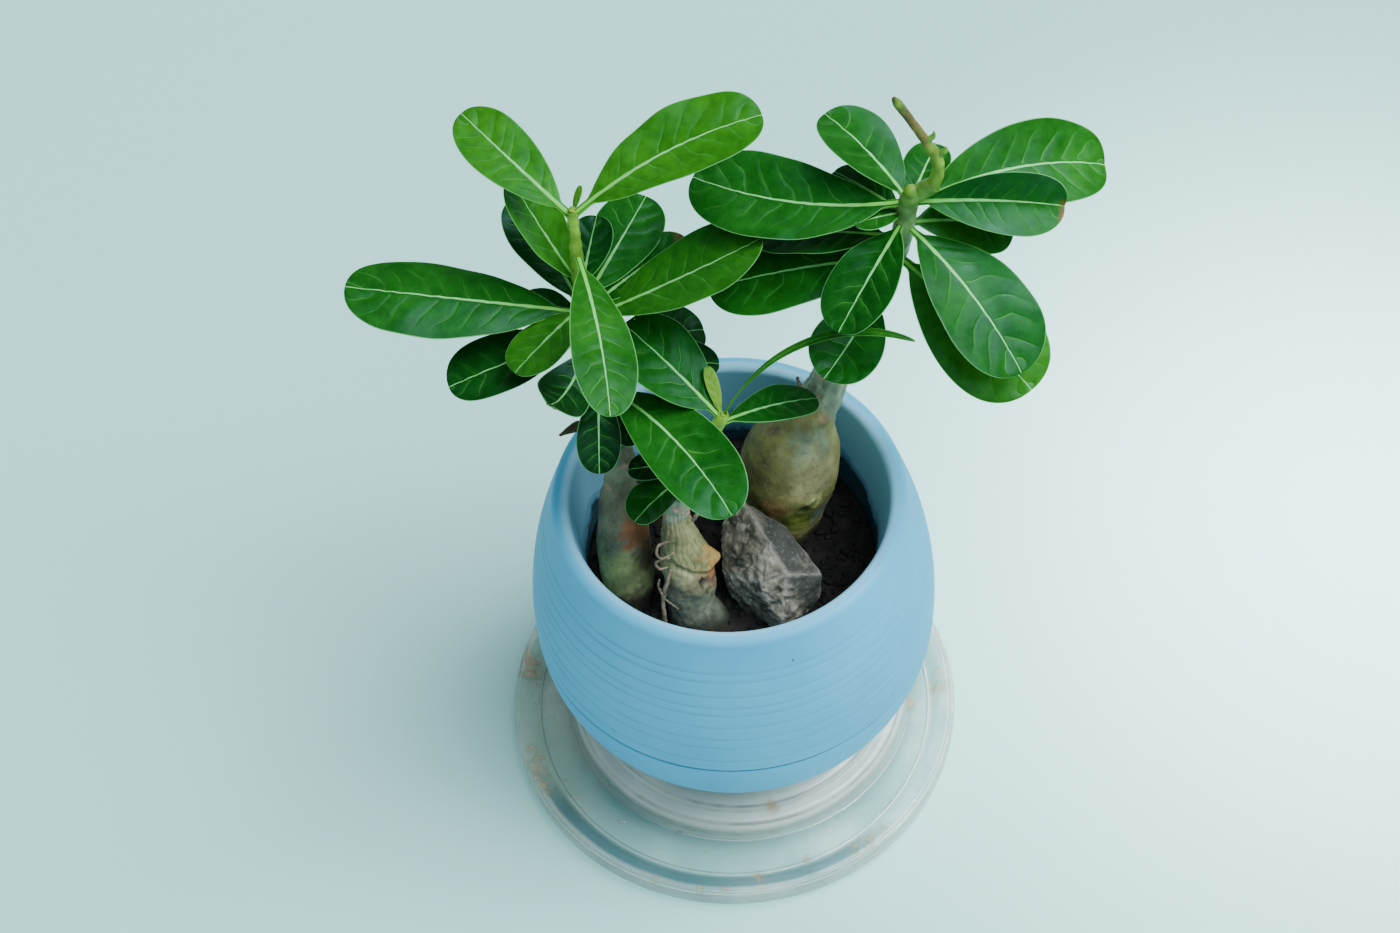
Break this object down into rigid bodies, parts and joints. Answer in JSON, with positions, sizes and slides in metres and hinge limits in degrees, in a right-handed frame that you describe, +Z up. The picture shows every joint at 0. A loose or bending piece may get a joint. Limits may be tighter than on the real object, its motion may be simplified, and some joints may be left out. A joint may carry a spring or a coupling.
{
  "type": "potted desert rose adenium",
  "caption": "Young desert roses with swollen stem bases and glossy oval leaves, in a round-bellied blue pot with soil and a stone, standing on a clear glass saucer.",
  "frame": {"origin": "on the pot's vertical axis, in the plane of the saucer's flat underside, where the object stands", "axes": "+Z up along the pot's axis, -Y towards the side that the front plant stands on, +X to the right seen from there"},
  "size_m": [0.1818, 0.1292, 0.217],
  "materials": {
    "saucer_glass": "clear pressed glass, slightly grey-green, smooth and shiny",
    "pot_plastic": "matt sky-blue moulded plastic with fine turned ridges",
    "soil": "damp dark potting soil with coarse grains",
    "stone": "rough grey broken stone with a few pale patches",
    "caudex_bark": "matt grey-green to olive skin with leaf scars",
    "young_caudex_bark": "yellow-green wrinkled skin, grey and scarred towards the soil",
    "leaf": "glossy green with a pale midrib, fine veins and a thin pale margin"
  },
  "bodies": {
    "root": {"saucer": "saucer_glass", "pot": "pot_plastic", "soil": "soil", "stone": "stone", "caudex_left": "caudex_bark", "caudex_right": "caudex_bark", "caudex_front": "young_caudex_bark", "leafy_stem_left": "leaf", "leafy_stem_right": "leaf", "leafy_stem_front": "leaf"}
  },
  "joints": []
}
